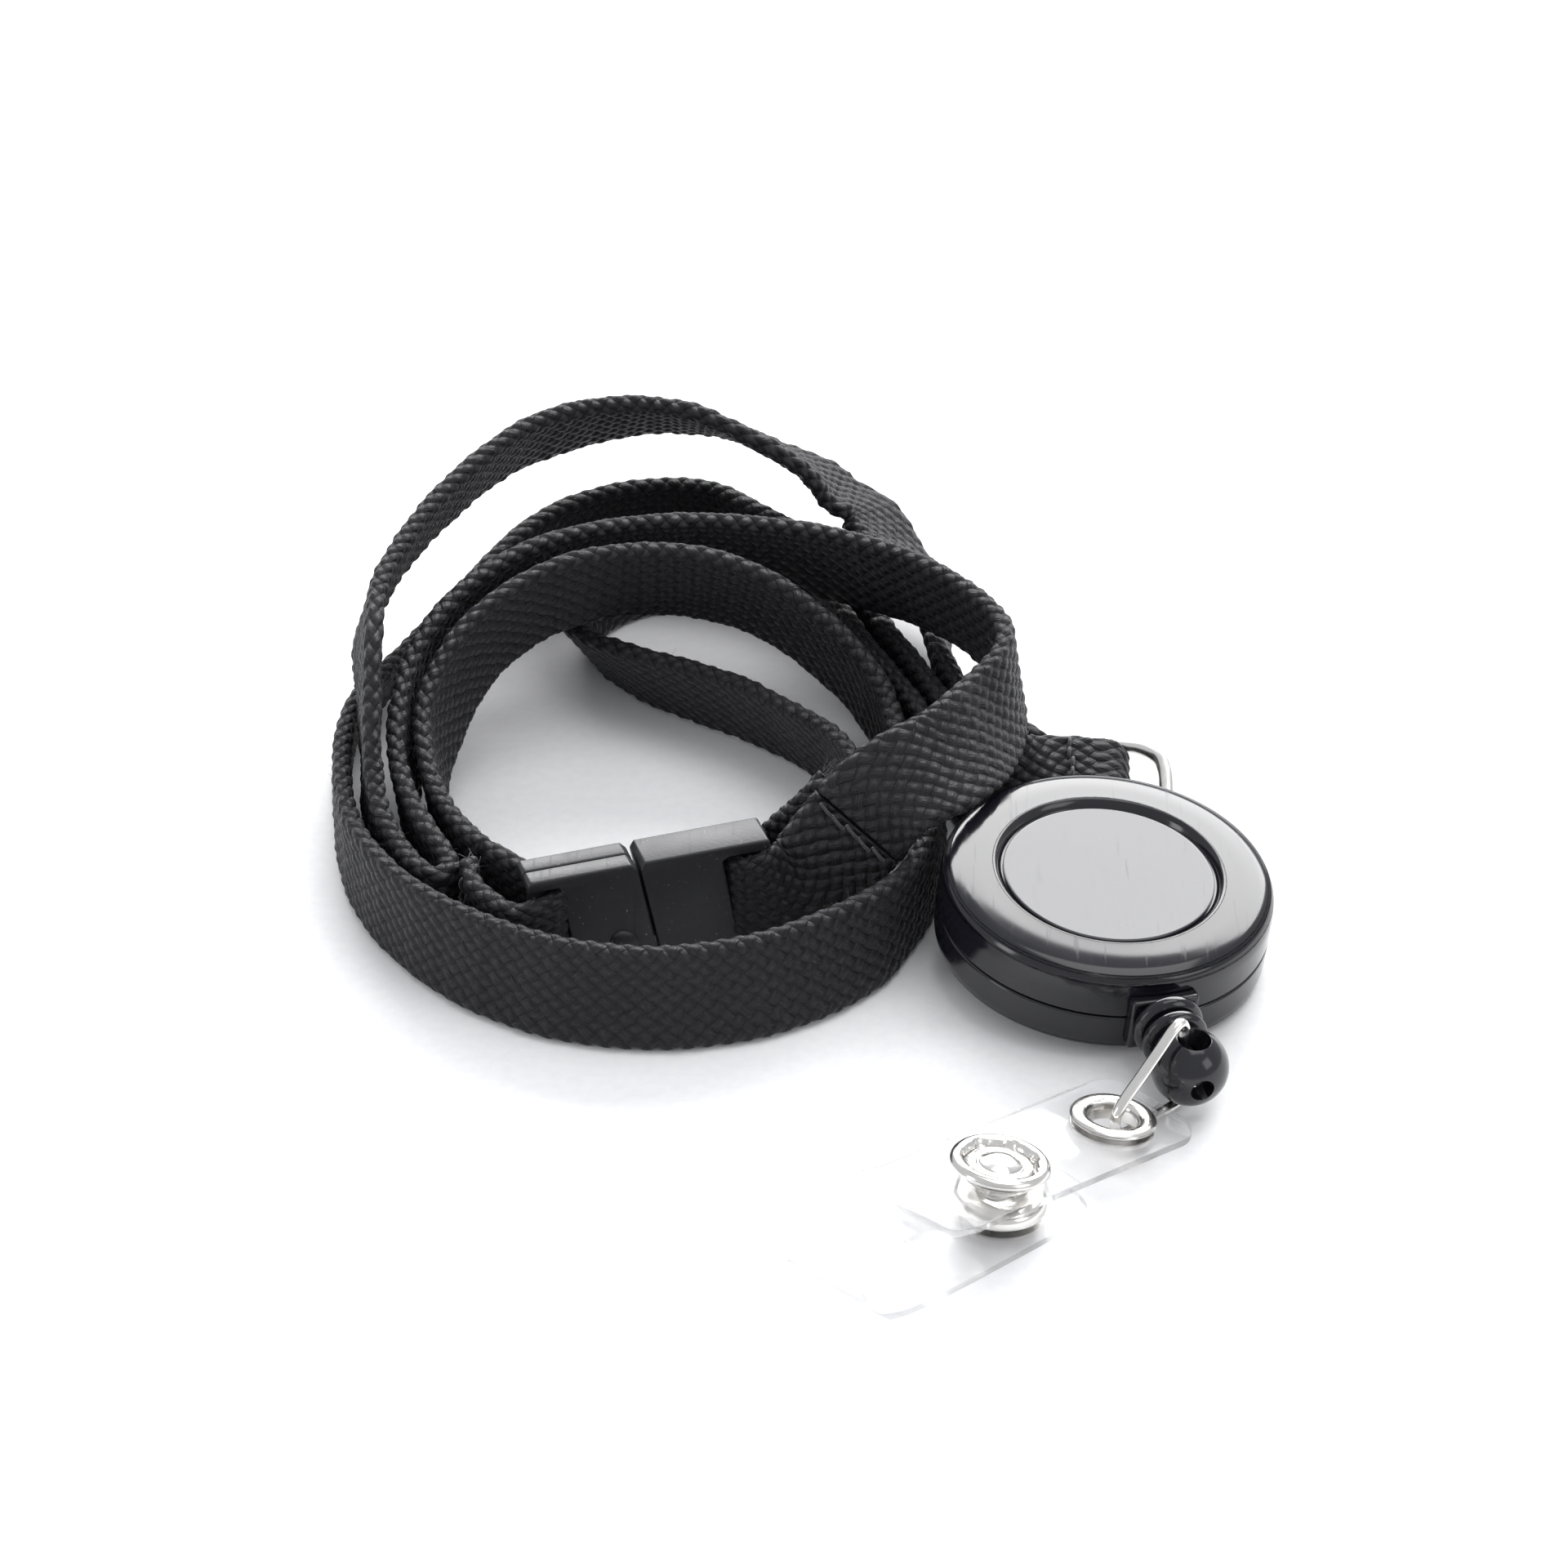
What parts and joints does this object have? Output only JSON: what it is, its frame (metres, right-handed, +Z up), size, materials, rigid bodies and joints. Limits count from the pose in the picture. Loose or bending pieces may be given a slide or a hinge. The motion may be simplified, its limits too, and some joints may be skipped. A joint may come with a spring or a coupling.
{
  "type": "lanyard badge holder",
  "caption": "Coiled flat braided neck strap with a pull-apart clasp, D-ring and lug carrying a round retractable reel, and a clear snap strap on a wire link for a badge.",
  "frame": {"origin": "Bottom centre of the box around the reel, its fittings, the D-ring, lug, wire link and clear strap, on the table plane; the neck strap and its clasp lie to -X of it.", "axes": "+Z up from the table, +Y away from the viewer along the line from the snap strap's fold to the D-ring, +X to the right; +Y is the longest and +Z the shortest extent of the rigid parts."},
  "size_m": [0.0915, 0.1336, 0.0253],
  "materials": {
    "webbing": "flat tubular braid, dull black",
    "gloss_shell": "polished black moulding",
    "inner_plastic": "plain moulding",
    "reel_cord": "thin braided cord",
    "spring_steel": "blued strip",
    "lug": "satin",
    "nickel": "bright nickel plate",
    "clear_vinyl": "clear flexible vinyl",
    "clasp": "satin, slightly worn edges"
  },
  "bodies": {
    "lanyard": {"webbing_left": "webbing", "webbing_right": "webbing", "webbing_left_loop": "webbing", "webbing_right_loop": "webbing", "webbing_ring_fold": "webbing", "clasp_socket_half": "clasp"},
    "ring": {"d_ring": "nickel"},
    "lug": {"rear_lug": "lug"},
    "reel": {"back_cover": "gloss_shell", "front_cover": "gloss_shell", "front_disc": "gloss_shell", "centre_post": "inner_plastic", "lug_rivet": "nickel", "power_spring": "spring_steel", "exit_frame": "gloss_shell", "reel_cord": "reel_cord"},
    "drum": {"cord_drum": "inner_plastic", "wound_cord": "reel_cord"},
    "fitting": {"end_fitting": "gloss_shell", "cord_knot": "reel_cord"},
    "link": {"wire_link": "nickel"},
    "strap": {"strap_upper": "clear_vinyl", "strap_fold": "clear_vinyl", "eyelet_front": "nickel", "eyelet_back": "nickel", "snap_cap_ring": "nickel", "snap_stud": "nickel"},
    "flap": {"strap_lower": "clear_vinyl", "snap_socket": "nickel", "snap_post": "nickel"},
    "clasp_plug": {"clasp_plug_half": "clasp"}
  },
  "joints": [
    {"name": "ring_swing", "type": "hinge", "parent": "lanyard", "child": "ring", "pos_m": [0.00887, 0.03902, 0.0039], "axis": [0, 0.9703, 0.2419], "range_deg": [0, 8]},
    {"name": "lug_swing", "type": "hinge", "parent": "ring", "child": "lug", "pos_m": [0.01493, 0.03567, 0.00307], "axis": [-0.374, -0.8999, -0.2244], "range_deg": [-6, 0]},
    {"name": "reel_swivel", "type": "hinge", "parent": "lug", "child": "reel", "pos_m": [0.00767, 0.01622, 0.0016], "axis": [0.0947, -0.0442, 0.9945], "range_deg": [-35, 80]},
    {"name": "cord_pull", "type": "slide", "parent": "reel", "child": "fitting", "axis": [0.2974, -0.9522, -0.0706], "range_m": [0, 0.75], "stiffness_N_per_m": 0.6, "springref_m": -1, "deforming": ["reel_cord"]},
    {"name": "drum_spin", "type": "hinge", "parent": "reel", "child": "drum", "pos_m": [0.00767, 0.01622, 0.0016], "axis": [0.0947, -0.0442, 0.9945], "range_deg": [-10, 3700]},
    {"name": "link_swing", "type": "hinge", "parent": "fitting", "child": "link", "pos_m": [0.01522, -0.00674, 0.00459], "axis": [0.0947, -0.0442, 0.9945], "range_deg": [-10, 110]},
    {"name": "strap_pitch", "type": "hinge", "parent": "link", "child": "strap", "pos_m": [0.0081, -0.0131, 0.0032], "axis": [-0.7071, 0.7071, 0], "range_deg": [-25, 3]},
    {"name": "snap_open", "type": "hinge", "parent": "strap", "child": "flap", "pos_m": [-0.01834, -0.03954, 0.0076], "axis": [-0.7071, 0.7071, 0], "range_deg": [0, 60], "deforming": ["strap_fold"]},
    {"name": "clasp_release", "type": "slide", "parent": "lanyard", "child": "clasp_plug", "axis": [0.9527, 0.304, 0], "range_m": [0, 0.0065], "deforming": ["webbing_right_loop"]}
  ],
  "couplings": [
    {"joint": "drum_spin", "follows": "cord_pull", "rad_per_m": 84.7}
  ]
}
